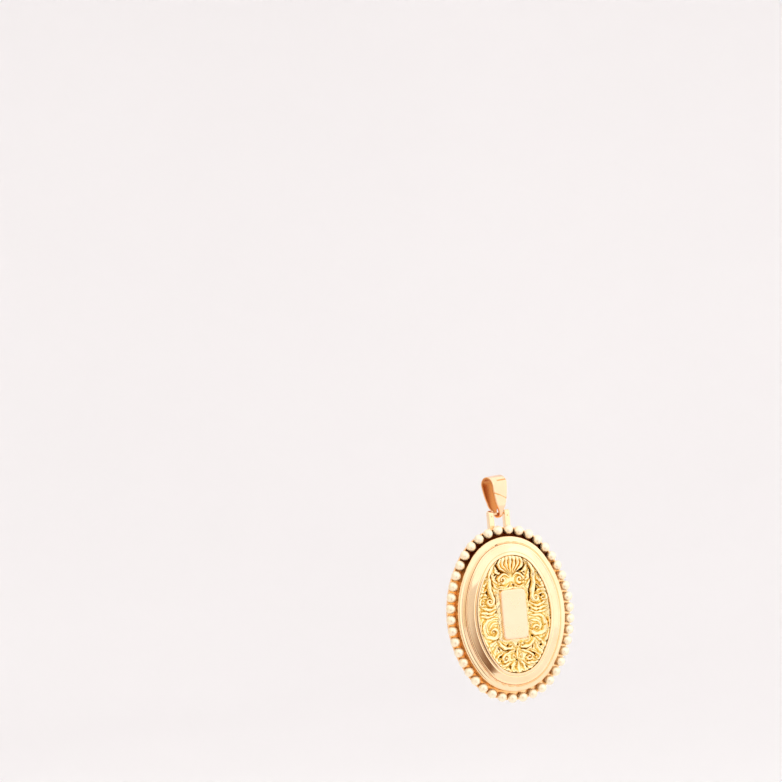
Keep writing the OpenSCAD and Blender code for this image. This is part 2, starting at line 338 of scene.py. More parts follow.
# Ring of beads, each a little sunk in the flange
beadBorder = dict(count=42, around=36, rows=20)
bm = bmesh.new()
lengths = [turn * radius for centre, turn, radius in ovalArcs(beadOval)]
for i in range(beadBorder["count"]):
    along = sum(lengths) * (i + 0.5) / beadBorder["count"]
    spot = Matrix.Translation((0, beadOval[1], 0))
    for (centre, turn, radius), length in zip(ovalArcs(beadOval), lengths):
        part = min(along, length)
        hinge = Matrix.Translation(centre)
        spot = hinge @ Matrix.Rotation(-part / radius, 4, "Z") @ hinge.inverted() @ spot
        along -= part
        if along <= 0:
            break
    middle = spot.translation + Vector((0, 0, beadRise))
    bmesh.ops.create_uvsphere(bm, u_segments=beadBorder["around"], v_segments=beadBorder["rows"],
                              radius=beadRadius, matrix=Matrix.Translation(middle))
finishPiece("beadBorder", bm, standUp, "back_plate", beadGold)


# Plain plaque with a soft edge
plainPlaque = dict(
    face=(5.9, 11.0),     # width and height
    corner=1.0, cornerSteps=10,
    # How far outside the face's outline and at which level, from the flat top down the flank to the foot
    flank=[(-0.55, 3.05), (-0.3, 3.045), (-0.16, 3.02), (-0.06, 2.96), (0, 2.86), (0.01, 2.7), (0.04, 2.5),
           (0.1, 2.34), (0.18, 2.2), (0.26, 2.08)],
)
bm = bmesh.new()
wide, high = plainPlaque["face"]
corner = plainPlaque["corner"]
place, height = plainPlaque["flank"][0]
bmesh.ops.create_grid(bm, x_segments=1, y_segments=1, size=0.5,
                      matrix=Matrix.Translation((0, 0, height)) @ Matrix.Diagonal((wide, high, 1, 1)))
roundOff(bm, bm.verts[:], corner, plainPlaque["cornerSteps"])


# Moves a ring of the plaque's outline in or out and to a level, its corners turning about their centres
def moveOutline(bm, verts, out, level):
    for side in (1, -1):
        for end in (1, -1):
            turn = Vector((side * (wide / 2 - corner), end * (high / 2 - corner), 0))
            near = [v for v in verts if v.co.x * side > 0 and v.co.y * end > 0]
            size = 1 + out / corner
            bmesh.ops.scale(bm, vec=(size, size, 1), space=Matrix.Translation(-turn), verts=near)
    bmesh.ops.translate(bm, vec=(0, 0, level), verts=verts)


ring = list({e for f in bm.faces for e in f.edges})
moveOutline(bm, bm.verts[:], place, 0)
for out, level in plainPlaque["flank"][1:]:
    verts, ring = extrudeRing(bm, ring)
    moveOutline(bm, verts, corner * ((corner + out) / (corner + place) - 1), level - height)
    place, height = out, level
bmesh.ops.contextual_create(bm, geom=ring)
finishPiece("plainPlaque", bm, standUp, "plaque", plaqueGold)


# Ears, each with a small dimple in its front and a hole for the pin
bailEars = dict(
    gap=2.5, thick=1.24, depth=1.6,       # between the ears, along the pin, and from front to back
    footDown=5.2,                         # how far below the pin they end, in the flange
    edge=0.14, segments=18,               # rounding of the edges, steps round the top
    dimple=0.18, dimpleDeep=0.3, dimpleDown=0.5, dimpleTaper=0.6, dimpleSides=24,
    bore=0.32, boreSides=32,
)
bm = bmesh.new()
cutter = bmesh.new()
for side in (1, -1):
    begin = bm.verts.new((0, -bailEars["depth"] / 2, 0))
    last = sweep(bm, [begin], bailEars["segments"], axis=(-1, 0, 0), turn=math.pi)
    ends = [begin] + vertsOf(last)
    feet = bmesh.ops.extrude_vert_indiv(bm, verts=ends)["verts"]
    bmesh.ops.translate(bm, vec=(0, 0, -bailEars["footDown"]), verts=feet)
    bm.edges.new(feet)
    loose = [e for e in bm.edges if not e.link_faces]
    flat = bmesh.ops.contextual_create(bm, geom=loose)["faces"]
    block = bmesh.ops.extrude_face_region(bm, geom=flat)["geom"]
    bmesh.ops.translate(bm, vec=(bailEars["thick"], 0, 0), verts=vertsOf(block))
    # All that hangs together with the first vertex is this ear
    lug = {begin}
    grow = [begin]
    while grow:
        step = [e.other_vert(v) for v in grow for e in v.link_edges]
        grow = list({v for v in step if v not in lug})
        lug.update(grow)
    left = bailEars["gap"] / 2 if side > 0 else -bailEars["gap"] / 2 - bailEars["thick"]
    bmesh.ops.translate(bm, vec=(left, 0, 0), verts=list(lug))
    middle = left + bailEars["thick"] / 2
    face = Matrix.Translation((middle, -bailEars["depth"] / 2, -bailEars["dimpleDown"]))
    addRod(cutter, face @ Matrix.Rotation(math.radians(-90), 4, "X"), bailEars["dimpleDeep"] * 2,
           bailEars["dimple"], bailEars["dimpleSides"], bailEars["dimpleTaper"])
bmesh.ops.recalc_face_normals(bm, faces=bm.faces)
sharp = [e for e in bm.edges if len(e.link_faces) == 2 and e.calc_face_angle() > math.radians(40)]
roundOff(bm, sharp, bailEars["edge"], 3, "EDGES")
alongPin = Matrix.Rotation(math.radians(90), 4, "Y")
addRod(cutter, alongPin, 4 * bailEars["gap"], bailEars["bore"], bailEars["boreSides"])
bmesh.ops.transform(cutter, matrix=atPin, verts=cutter.verts)
cutterMesh = bpy.data.meshes.new("earCutter")
cutter.to_mesh(cutterMesh)
cutter.free()
earCutter = bpy.data.objects.new("earCutter", cutterMesh)
bpy.context.scene.collection.objects.link(earCutter)
ears = finishPiece("bailEars", bm, atPin, "back_plate", frameGold)
cut = ears.modifiers.new("drill", "BOOLEAN")
cut.operation = "DIFFERENCE"
cut.solver = "EXACT"
cut.object = earCutter
bpy.context.view_layer.update()
drilled = bpy.data.meshes.new_from_object(ears.evaluated_get(bpy.context.evaluated_depsgraph_get()))
ears.modifiers.clear()
ears.data = drilled
bpy.data.objects.remove(earCutter)
evenShading(ears)

bailPin = dict(length=4.98, radius=0.3, edge=0.07, sides=40)
bm = bmesh.new()
addRod(bm, alongPin, bailPin["length"], bailPin["radius"], bailPin["sides"])
ends = [e for e in bm.edges if e.calc_face_angle() > math.radians(60)]
roundOff(bm, ends, bailPin["edge"], 3, "EDGES")
finishPiece("bailPin", bm, atPin, "bail_pin", frameGold, weighted=True)


# Bail: a strap folded round from the top, down the front, round the pin and up the back
taperedBail = dict(
    half=2.15,         # half width at the top
    strap=0.6,         # thickness
    crown=0.05,        # how far the outer face falls off towards its edges
    edge=0.08,
    turn=23,           # degrees that the loose bail hangs turned on its pin
    lean=3,            # degrees that it leans to the left
    # level of each circle's centre, and the inner radius
    circles=[(-1.4, 1.4), (-3.6, 1.3), (-5.9, 1.12), (-7.66, 0.6)],
    # level and half width
    front=[(1, 2.15), (-1.2, 2.15), (-2.6, 2.02), (-4.2, 1.75), (-5.6, 1.36), (-6.5, 1.0), (-7.1, 0.66),
           (-7.6, 0.42), (-9.5, 0.4)],
    blend=0.3,         # how far up and down the half width is averaged
    # The back leaf tapers less: level and how much wider its half is
    behind=[(-5.4, 0), (-6.6, 0.15), (-6.85, 0.15), (-7, 0)],
    cell=0.16,
    insideShade=0.8,   # painted shade, and extra roughness, on the unpolished inner face
    # Shallow creases across the front, darkened with painted shade: level at the left edge, level at the right
    # edge, where it starts
    creases=[(-0.55, -0.45, -0.6), (-3.1, -4.7, -2.2)],
    crease=dict(reach=0.13, depth=0.03, shade=0.45, outside=-1.6),
)
bm = bmesh.new()
half, strap, crown = taperedBail["half"], taperedBail["strap"], taperedBail["crown"]
section = [(-half, 0, 1), (-half, strap - crown, 1)]
section += [(half * s, strap - crown * s * s, 0) for s in (-0.8, -0.6, -0.4, -0.2, 0, 0.2, 0.4, 0.6, 0.8)]
section += [(half, strap - crown, 1), (half, 0, 1)] + [(half * s, 0, 0) for s in (0.8, 0.4, 0, -0.4, -0.8)]
layer = bm.verts.layers.float.new("recess")
corners = [bm.verts.new((x, 0, z)) for x, z, rounded in section]
for vert in corners:
    vert[layer] = taperedBail["insideShade"] if vert.co.z == 0 else 0
for pair in zip(corners, corners[1:] + corners[:1]):
    bm.edges.new(pair)
for vert, (x, z, rounded) in zip(corners, section):
    if rounded:
        roundOff(bm, [vert], taperedBail["edge"], 4)
circles = taperedBail["circles"]
leans = [math.asin((a[1] - b[1]) / (a[0] - b[0])) for a, b in zip(circles, circles[1:])]
runs = [(a[0] - b[0]) * math.cos(tilt) for a, b, tilt in zip(circles, circles[1:], leans)]
marks = [-math.pi / 2] + leans + [math.pi / 2]
turns = [b - a for a, b in zip(marks, marks[1:])]
route = list(zip(circles[:-1], turns[:-1], runs)) + [(circles[-1], 2 * turns[-1], runs[-1])]
route += list(zip(circles[-2:0:-1], turns[-2:0:-1], runs[-2::-1])) + [(circles[0], turns[0], 0)]
geom = bm.verts[:] + bm.edges[:]
turned = 0
for (level, radius), turn, run in route:
    steps = max(3, round((radius + strap) * turn / taperedBail["cell"]))
    geom = sweep(bm, geom, steps, (0, 0, level), turn=turn)
    turned += turn
    if run:
        steps = round(run / taperedBail["cell"])
        move = (0, -math.cos(turned) * run / steps, -math.sin(turned) * run / steps)
        geom = sweep(bm, geom, steps, move=move)
bmesh.ops.remove_doubles(bm, verts=bm.verts, dist=1e-4)
# Draws the strap in to its width at each level; the rounded edges keep their size
levels, widths = zip(*taperedBail["front"][::-1])
backLevels, backExtra = zip(*taperedBail["behind"][::-1])
edge, blend, crease = 2 * taperedBail["edge"], taperedBail["blend"], taperedBail["crease"]
for vert in bm.verts:
    x, level = vert.co.x, vert.co.z
    width = sum(np.interp(level + shift, levels, widths) for shift in (-blend, 0, blend)) / 3
    width += np.interp(level, backLevels, backExtra) * min(1, max(0, vert.co.y / strap))
    for left, right, start in taperedBail["creases"]:
        away = abs(level - left - (right - left) * (x + half) / (2 * half))
        if vert.co.y < crease["outside"] and away < crease["reach"] and x > start:
            vert[layer] = crease["shade"]
            vert.co.y += crease["depth"]
    if abs(x) > half - edge:
        vert.co.x = math.copysign(width - (half - abs(x)), x)
    else:
        vert.co.x = x * (width - edge) / (half - edge)
# Its levels are counted from the inside of its top, and it leans about the pin
leaning = Matrix.Rotation(-math.radians(taperedBail["lean"]), 4, "Y")
turning = Matrix.Rotation(math.radians(taperedBail["turn"]), 4, "Z")
hung = atPin @ leaning @ Matrix.Translation((0, 0, -pinMiddle.z / mm)) @ turning
finishPiece("taperedBail", bm, hung, "bail", bailGold, weighted=True)


# Chased panel: a sheet with every form raised from the back and outlined from the front
chasedPanel = dict(
    cells=(232, 344),      # facets across and up
    sheet=(9.0, 13.5),     # half width and half height of the chased sheet
    edge=(9.4, 13.9),      # the same outside its turned-down skirt
    opening=(8.4, 12.9),   # oval that the frame leaves open
    ground=2.12,           # level of the matted ground
    # Punched dots of the ground: depth, distance, and in parts of that distance how far each is off its
    # place and how wide it is, then how steep its side is
    matting=dict(deep=0.05, pitch=0.36, scatter=0.3, wide=0.62, steep=1.6),
    # How the drawing wanders, sideways and then up and down: how far, how fast along x and along y, start
    wander=([(0.09, 0.8, 1.9, 1.0), (0.05, -3.1, 4.3, 0)], [(0.09, 2.3, -0.7, 2.0), (0.05, 3.7, 4.1, 0)]),
    moat=0.13,             # width of the groove that outlines each form
    moatCut=0.18,          # how far that groove goes below the ground
    edgeRise=(0.72, 1.1),      # how much the sheet rises to the opening's edge, and over what width
    plaqueRise=(0.4, 0.9),     # the same round the plaque
    highest=3.08, atEdge=2.95, atPlaque=2.75, lowest=1.3,      # levels that nothing passes
    edgeSlope=4,               # how steeply atEdge opens to the inside
    # Sheet below the plaque and below the frame: level, how far it shows, and its rise outside over what width
    covered=dict(level=2.0, margin=0.02, rise=0.15, over=0.2),
    roll=dict(power=0.6, hollowWide=0.38),                     # cross section of a stroke
    lobe=dict(scallop=0.16, swept=0.55, ripple=0.14),          # outline, slant and depth of a leaf's lobes
    cutSteep=1.25, pitSteep=(1.25, 0.5),
    # Skirt: how much wider each ring is, None for the width of edge, and how much higher than the one before
    skirt=[(None, 0), (0, -2.66), (-0.4, 0), (0, 1.71)],
    # Tarnish and painted shade in the hollows: blur in cells and its share, then a base, a gain for hollows
    # and one for depth below the ground
    tarnish=dict(blur=[(5, 0.6), (11, 0.4)], base=0.06, hollow=1.35, depth=0.6, atEdge=0.1, start=0.15,
                 over=0.5),
    # Each stroke from its root to its tip: points, curl (eye x, eye y, turns, last radius), half widths,
    # rise, hollow down the middle, number of lobes. Drawn on both sides unless it lies on the middle line.
    strokes=[
        ([(-4.9, 10.9), (-5.8, 9.7), (-6.7, 8.4), (-7.3, 7.0)], None, (0.15, 0.42, 0.46, 0.2), 0.55, 0.2, 5),
        ([(-5.7, 8.3), (-6.0, 7.3), (-6.8, 6.7), (-7.8, 6.5)], None, (0.15, 0.42, 0.46, 0.2), 0.65, 0.2, 4),
        ([(-3.25, 12.0), (-4.4, 10.6), (-5.15, 8.6), (-5.2, 6.5), (-4.9, 4.7), (-4.55, 3.3)],
         (-5.35, 3.2, -1.15, 0.2), (0.16, 0.42, 0.6, 0.68, 0.46, 0.22), 0.85, 0.1, 0),
        ([(-3.3, 5.8), (-3.95, 6.5), (-4.35, 7.6)], None, (0.14, 0.36, 0.12), 0.5, 0.2, 0),
        ([(-3.2, 7.0), (-4.0, 7.8), (-4.35, 9.3)], None, (0.16, 0.5, 0.14), 0.65, 0.3, 3),
        ([(-2.4, 9.05), (-3.4, 9.7), (-3.8, 11.0)], None, (0.16, 0.5, 0.14), 0.7, 0.3, 3),
        ([(-0.5, 6.75), (-1.1, 6.35), (-2.1, 6.1), (-3.2, 6.3)], None, (0.14, 0.24, 0.28, 0.12), 0.5, 0, 0),
        ([(-0.45, 8.35), (-1.2, 8.8), (-2.15, 8.75), (-2.85, 8.05)], (-1.95, 7.65, 1.15, 0.2),
         (0.22, 0.34, 0.4, 0.32, 0.22), 0.75, 0.22, 0),
        ([(-5.9, 6.05), (-6.5, 5.55), (-7.3, 5.6)], (-7.0, 6.0, -0.9, 0.12),
         (0.14, 0.3, 0.34, 0.2), 0.7, 0, 0),
        ([(-5.75, 4.3), (-6.4, 4.85), (-7.2, 4.9), (-8.0, 4.4)], None,
         (0.12, 0.32, 0.34, 0.12), 0.55, 0.15, 0),
        ([(-5.9, 3.8), (-6.6, 4.05), (-7.35, 4.0), (-7.85, 3.3)], (-7.15, 3.05, 0.95, 0.15),
         (0.16, 0.28, 0.32, 0.22), 0.65, 0.1, 0),
        ([(-3.9, 0.35), (-5.3, -0.05), (-6.8, -0.05), (-8.1, 0.4)], None,
         (0.16, 0.36, 0.42, 0.14), 0.5, 0.2, 4),
        ([(-4.0, 1.2), (-5.2, 0.75), (-6.6, 0.7), (-8.0, 1.2)], None, (0.16, 0.38, 0.42, 0.14), 0.6, 0.2, 4),
        ([(-4.2, 2.0), (-5.2, 1.55), (-6.4, 1.6), (-7.7, 2.2)], None, (0.16, 0.38, 0.42, 0.14), 0.7, 0.2, 4),
        ([(-7.9, -1.0), (-8.1, -2.3), (-7.95, -3.6)], None, (0.12, 0.24, 0.12), 0.4, 0, 0),
        ([(-3.75, -1.9), (-3.95, -3.0), (-3.85, -4.3)], None, (0.12, 0.26, 0.12), 0.4, 0, 0),
        ([(-3.9, -0.6), (-5.2, -0.6), (-6.4, -1.0), (-7.1, -2.0), (-7.2, -3.2), (-6.7, -4.3), (-5.6, -4.8)],
         (-5.05, -3.6, 0.95, 0.28), (0.18, 0.42, 0.56, 0.56, 0.42, 0.26), 0.85, 0.25, 0),
        ([(-4.0, -1.6), (-4.9, -1.7), (-5.7, -2.2), (-5.95, -2.9)], None,
         (0.16, 0.34, 0.3, 0.12), 0.6, 0.2, 0),
        ([(-7.95, -4.0), (-7.4, -5.3), (-6.6, -6.4), (-5.9, -7.2)], None,
         (0.14, 0.38, 0.4, 0.14), 0.55, 0.2, 4),
        ([(-4.7, -5.4), (-5.6, -6.1), (-6.5, -7.3), (-6.8, -8.6)], None,
         (0.16, 0.46, 0.46, 0.16), 0.65, 0.25, 4),
        ([(-4.5, -6.5), (-4.95, -7.7), (-5.6, -8.7), (-5.8, -9.8)], None,
         (0.14, 0.42, 0.4, 0.14), 0.6, 0.25, 4),
        ([(-3.2, -6.0), (-2.6, -6.35), (-2.1, -6.3)], None, (0.12, 0.24, 0.12), 0.4, 0, 0),
        ([(-4.3, -5.55), (-3.75, -6.5), (-2.85, -7.2), (-1.9, -7.35)], (-1.45, -6.85, 0.75, 0.16),
         (0.16, 0.42, 0.44, 0.32, 0.2), 0.75, 0.2, 0),
        ([(-3.2, -8.2), (-4.1, -8.8), (-4.95, -9.3)], (-4.5, -9.85, 0.8, 0.14),
         (0.14, 0.32, 0.3, 0.2), 0.6, 0, 0),
        ([(-1.6, -10.5), (-2.6, -11.0), (-3.7, -10.95), (-4.7, -10.7)], None,
         (0.14, 0.38, 0.38, 0.14), 0.55, 0.2, 4),
        ([(-1.6, -11.3), (-2.4, -11.9), (-3.5, -12.0)], None, (0.14, 0.38, 0.14), 0.5, 0.2, 3),
        ([(-0.8, -8.0), (-1.7, -8.3), (-2.7, -8.6), (-3.45, -9.3)], (-2.75, -9.65, 1.0, 0.16),
         (0.16, 0.34, 0.38, 0.32, 0.2), 0.8, 0.2, 0),
        ([(-0.25, -7.2), (-0.75, -6.85), (-0.85, -6.3)], None, (0.14, 0.28, 0.12), 0.5, 0, 0),
        ([(-0.25, -9.5), (-0.8, -8.95), (-1.1, -9.7)], None, (0.14, 0.28, 0.12), 0.5, 0, 0),
        ([(-0.15, -10.2), (-0.95, -10.7), (-1.45, -11.6), (-1.4, -12.6)], None,
         (0.16, 0.4, 0.46, 0.2), 0.7, 0.2, 0),
        ([(0, -7.5), (0, -8.6), (0, -9.7)], None, (0.22, 0.34, 0.16), 0.65, 0.2, 0),
        ([(0, -10.4), (0, -11.6), (0, -12.9)], None, (0.16, 0.5, 0.36), 0.8, 0.2, 0),
    ],
    shell=dict(foot=9.05, top=12.85, spread=0.9, flutes=3, fall=0.07, bow=(0.08, 0.62),
               widths=(0.12, 0.3, 0.44, 0.48, 0.44), rise=0.9, hollow=0.05),
    # centre x, centre y, radius, rise
    balls=[(-2.8, 6.85, 0.42, 0.55), (0, 6.6, 0.45, 0.7), (-5.05, -3.6, 0.32, 0.6), (-3.5, 5.15, 0.24, 0.35),
           (-0.65, -11.2, 0.2, 0.4)],
    # Grooves that read as dark outlines: points, half widths, depth
    cuts=[
        ([(-1.75, 9.2), (-2.7, 9.75), (-3.15, 10.8), (-3.0, 11.8), (-2.4, 12.6)],
         (0.1, 0.2, 0.22, 0.2, 0.12), 0.75),
        ([(-3.7, 11.75), (-4.1, 10.6), (-4.6, 9.0), (-4.6, 7.0), (-4.25, 5.2), (-4.0, 3.6), (-3.95, 2.4)],
         (0.1, 0.16, 0.16, 0.13, 0.18, 0.24, 0.14), 0.7),
        ([(-3.1, 7.3), (-3.3, 8.2), (-2.75, 9.0), (-1.8, 9.25)], (0.1, 0.15, 0.16, 0.1), 0.6),
        ([(-2.3, 12.95), (-1.2, 13.2), (0, 13.25)], (0.1, 0.14, 0.1), 0.6),
        ([(-5.75, 5.9), (-5.85, 5.0), (-5.8, 4.2)], (0.1, 0.24, 0.12), 0.65),
        ([(-1.2, -7.75), (-2.2, -7.85), (-3.1, -7.6), (-4.0, -6.9)], (0.1, 0.13, 0.13, 0.08), 0.5),
        ([(-7.65, -1.4), (-7.8, -2.8), (-7.4, -4.2)], (0.08, 0.2, 0.08), 0.6),
        ([(-3.8, -8.0), (-3.95, -7.6), (-4.1, -7.1)], (0.1, 0.22, 0.1), 0.5),
        ([(-5.4, 2.5), (-4.9, 2.45), (-4.3, 2.6)], (0.06, 0.1, 0.06), 0.35),
    ],
    # Punch marks: x, y, half length, half width, turn, depth, on both sides or not
    pits=[
        (-4.0, 0.85, 0.36, 0.18, 75, 0.6, True), (-4.1, -5.1, 0.3, 0.2, 20, 0.6, True),
        (4.0, -3.6, 0.32, 0.28, 0, 0.7, False), (7.0, -2.9, 0.32, 0.18, 30, 0.6, False),
        (6.9, 3.7, 0.28, 0.16, 40, 0.6, False), (-6.3, -7.85, 0.24, 0.2, 0, 0.6, False),
        (5.7, -6.5, 0.22, 0.18, 0, 0.6, False), (5.8, -7.3, 0.22, 0.18, 0, 0.6, False),
        (4.0, -9.2, 0.36, 0.18, -30, 0.6, True), (2.35, -9.3, 0.22, 0.16, 0, 0.5, True),
        (-1.95, -6.7, 0.24, 0.14, 0, 0.6, True), (0.0, -10.05, 0.24, 0.16, 60, 0.7, False),
        (-0.6, -10.5, 0.25, 0.12, 40, 0.5, True), (-1.85, -11.6, 0.3, 0.16, 60, 0.6, True),
        (0.75, -12.8, 0.3, 0.15, 60, 0.5, True), (-5.65, 8.8, 0.24, 0.14, 60, 0.6, True),
        (6.35, 7.7, 0.44, 0.17, 110, 0.6, True), (-6.95, 8.5, 0.2, 0.12, 40, 0.5, True),
        (-3.65, -9.95, 0.2, 0.14, 0, 0.5, True), (-0.65, 6.2, 0.2, 0.12, 60, 0.5, True),
        (-6.6, 2.75, 0.2, 0.14, 0, 0.5, True), (-3.45, 8.95, 0.34, 0.15, 40, 0.5, True),
        (0.55, -6.75, 0.2, 0.12, 60, 0.5, True), (-0.3, -8.2, 0.2, 0.12, 60, 0.5, True),
        (-0.7, 12.6, 0.18, 0.1, 80, 0.4, False),
    ],
)


# Smooth curve through the points, then an optional curl that winds in to an eye
def strokePath(points, curl=None, spacing=0.06):
    knots = [np.array(p, float) for p in points]
    knots = [2 * knots[0] - knots[1]] + knots + [2 * knots[-1] - knots[-2]]
    path = []
    for a, b, c, d in zip(knots, knots[1:], knots[2:], knots[3:]):
        count = max(2, int(np.linalg.norm(c - b) / spacing))
        for t in np.linspace(0, 1, count, endpoint=False):
            path.append(0.5 * (2 * b + (c - a) * t + (2 * a - 5 * b + 4 * c - d) * t * t
                               + (3 * b - a - 3 * c + d) * t ** 3))
    path.append(knots[-2])
    if curl:
        eye, turns, endRadius = np.array(curl[:2], float), curl[2], curl[3]
        arm = path[-1] - eye
        startRadius, startAngle = np.linalg.norm(arm), math.atan2(arm[1], arm[0])
        count = max(8, int(abs(turns) * 2 * math.pi * startRadius / spacing))
        for t in np.linspace(0, 1, count)[1:]:
            radius = startRadius + (endRadius - startRadius) * t
            angle = startAngle + turns * 2 * math.pi * t
            path.append(eye + radius * np.array([math.cos(angle), math.sin(angle)]))
    return np.array(path)


# Distance of each point to a path, and how far along the path it lies, from 0 to 1
def alongPath(x, y, path):
    steps = np.diff(path, axis=0)
    lengths = np.maximum(np.hypot(steps[:, 0], steps[:, 1]), 1e-9)
    done = np.concatenate([[0], np.cumsum(lengths)])
    best, spot = np.full(len(x), 1e9), np.zeros(len(x))
    for (sx, sy), (dx, dy), length, before in zip(path, steps, lengths, done):
        t = np.clip(((x - sx) * dx + (y - sy) * dy) / length ** 2, 0, 1)
        gap = np.hypot(x - sx - t * dx, y - sy - t * dy)
        near = gap < best
        best[near] = gap[near]
        spot[near] = (before + t * length)[near]
    return best, spot / done[-1]


def nearPath(x, y, path, margin):
    low, high = path.min(0) - margin, path.max(0) + margin
    return np.nonzero((x > low[0]) & (x < high[0]) & (y > low[1]) & (y < high[1]))[0]


def softWidths(share, widths):
    spots = np.linspace(0, 1, len(widths))
    slot = np.clip(np.searchsorted(spots, share) - 1, 0, len(widths) - 2)
    wide = np.array(widths)
    return wide[slot] + (wide[slot + 1] - wide[slot]) * smoothStep((share - spots[slot]) * (len(widths) - 1))


# Small punch dots close together, as a matting tool leaves them; the sines of big multiples scatter them
def matting(x, y):
    tool = chasedPanel["matting"]
    pitch, scatter = tool["pitch"], tool["scatter"]
    best = np.full(len(x), 9.0)
    column, row = np.floor(x / pitch), np.floor(y / pitch)
    for i in (-1, 0, 1):
        for k in (-1, 0, 1):
            a, b = column + i, row + k
            dotX = (a + 0.5 + scatter * np.sin(a * 12.9 + b * 78.2)) * pitch
            dotY = (b + 0.5 + scatter * np.sin(a * 39.3 + b * 11.1)) * pitch
            best = np.minimum(best, np.hypot(x - dotX, y - dotY) / pitch)
    return smoothStep(tool["steep"] * (tool["wide"] - best))


def chasedLevel(x, y):
    # Hand work is never quite even, so the drawing is bent a little this way and that
    bend, lift = [sum(far * np.sin(fastX * x + fastY * y + start) for far, fastX, fastY, start in waves)
                  for waves in chasedPanel["wander"]]
    rim = ovalInset(x, y, chasedPanel["opening"])
    x, y = x + bend * smoothStep(rim), y + lift * smoothStep(rim)
    ground, cut = chasedPanel["ground"], chasedPanel["moatCut"]
    level = ground - chasedPanel["matting"]["deep"] * matting(x, y)
    floor = ground - cut
    section, leaf = chasedPanel["roll"], chasedPanel["lobe"]

    def lay(path, widths, rise, hollow=0, lobes=0):
        near = nearPath(x, y, path, max(widths) * 1.2 + chasedPanel["moat"])
        gap, share = alongPath(x[near], y[near], path)
        edge = softWidths(share, widths)
        s = gap / edge

        def wave(s):
            return np.cos(2 * math.pi * (lobes * share - leaf["swept"] * s))

        if lobes:
            edge = edge * (1 + leaf["scallop"] * wave(np.minimum(s, 1)))
            s = gap / edge
        inside = s < 1
        s = np.clip(s, 0, 1)
        roll = (1 - s * s) ** section["power"] * (1 - hollow * np.exp(-(s / section["hollowWide"]) ** 2))
        if lobes:
            roll *= 1 - leaf["ripple"] * (0.5 - 0.5 * wave(s)) * smoothStep(s * 2)
        fade = smoothStep((gap - edge) / chasedPanel["moat"])
        base = level[near]
        sunk = np.minimum(base, floor + (base - floor) * fade)
        level[near] = np.where(inside, floor + (cut + rise) * roll, sunk)

    def sides(points):
        return (1,) if all(abs(p[0]) < 1e-6 for p in points) else (1, -1)

    for points, curl, widths, rise, hollow, lobes in chasedPanel["strokes"]:
        for side in sides(points):
            lay(strokePath(points, curl) * [side, 1], widths, rise, hollow, lobes)
    shell = chasedPanel["shell"]
    bow, bowing = shell["bow"]
    for i in sorted(range(-shell["flutes"], shell["flutes"] + 1), key=lambda k: -abs(k)):
        top = shell["top"] - shell["fall"] * i * i
        points = [(i * shell["spread"] * math.sin(math.pi * (bow + bowing * t)),
                   shell["foot"] + (top - shell["foot"]) * t) for t in (0, 0.25, 0.5, 0.75, 1)]
        lay(strokePath(points), shell["widths"], shell["rise"], shell["hollow"])
    for ballX, ballY, radius, rise in chasedPanel["balls"]:
        for side in sides([(ballX, ballY)]):
            lay(np.array([[ballX * side, ballY], [ballX * side + 0.01, ballY]]), (radius, radius), rise)
    for points, widths, depth in chasedPanel["cuts"]:
        for side in (1, -1):
            path = strokePath(points) * [side, 1]
            near = nearPath(x, y, path, max(widths))
            gap, share = alongPath(x[near], y[near], path)
            level[near] -= depth * smoothStep(chasedPanel["cutSteep"] * (1 - gap / softWidths(share, widths)))
    reach, fall = chasedPanel["pitSteep"]
    for pitX, pitY, long, wide, turn, depth, mirrored in chasedPanel["pits"]:
        for side in ((1, -1) if mirrored else (1,)):
            c, s = math.cos(math.radians(turn)), math.sin(math.radians(turn))
            u = (x * side - pitX) * c + (y - pitY) * s
            v = (y - pitY) * c - (x * side - pitX) * s
            level -= depth * smoothStep((reach - np.hypot(u / long, v / wide)) / fall)
    # The sheet rises a little to its edge, then dips in a narrow groove and runs on below the frame's wall
    inset = ovalInset(x, y, chasedPanel["opening"])
    rise, over = chasedPanel["edgeRise"]
    level = np.minimum(level + rise * (1 - smoothStep(inset / over)), chasedPanel["highest"])
    level = np.minimum(level, chasedPanel["atEdge"] + chasedPanel["edgeSlope"] * np.clip(inset, 0, 2))
    # It comes up a little round the plaque too
    wide, high = plainPlaque["face"]
    gap = np.hypot(np.maximum(np.abs(x) - wide / 2, 0), np.maximum(np.abs(y) - high / 2, 0))
    rise, over = chasedPanel["plaqueRise"]
    level = np.minimum(level + rise * (1 - smoothStep(gap / over)), chasedPanel["atPlaque"] + gap)
    under = chasedPanel["covered"]
    level = np.where(gap < under["margin"], under["level"], level)
    outside = under["level"] + under["rise"] * smoothStep(-inset / under["over"])
    level = np.where(inset < under["margin"], outside, level)
    return np.maximum(level, chasedPanel["lowest"])


# Average over a square of cells, for telling hollows from tops
def blurred(grid, reach):
    for axis in (0, 1):
        ends = [np.take(grid, [edge] * reach, axis) for edge in (0, -1)]
        padded = np.concatenate([ends[0], grid, ends[1]], axis)
        total = np.cumsum(padded, axis)
        size = grid.shape[axis]
        first = np.take(total, range(2 * reach, 2 * reach + size), axis)
        zero = np.zeros_like(np.take(total, [0], axis))
        before = np.concatenate([zero, np.take(total, range(0, size - 1), axis)], axis)
        grid = (first - before) / (2 * reach + 1)
    return grid


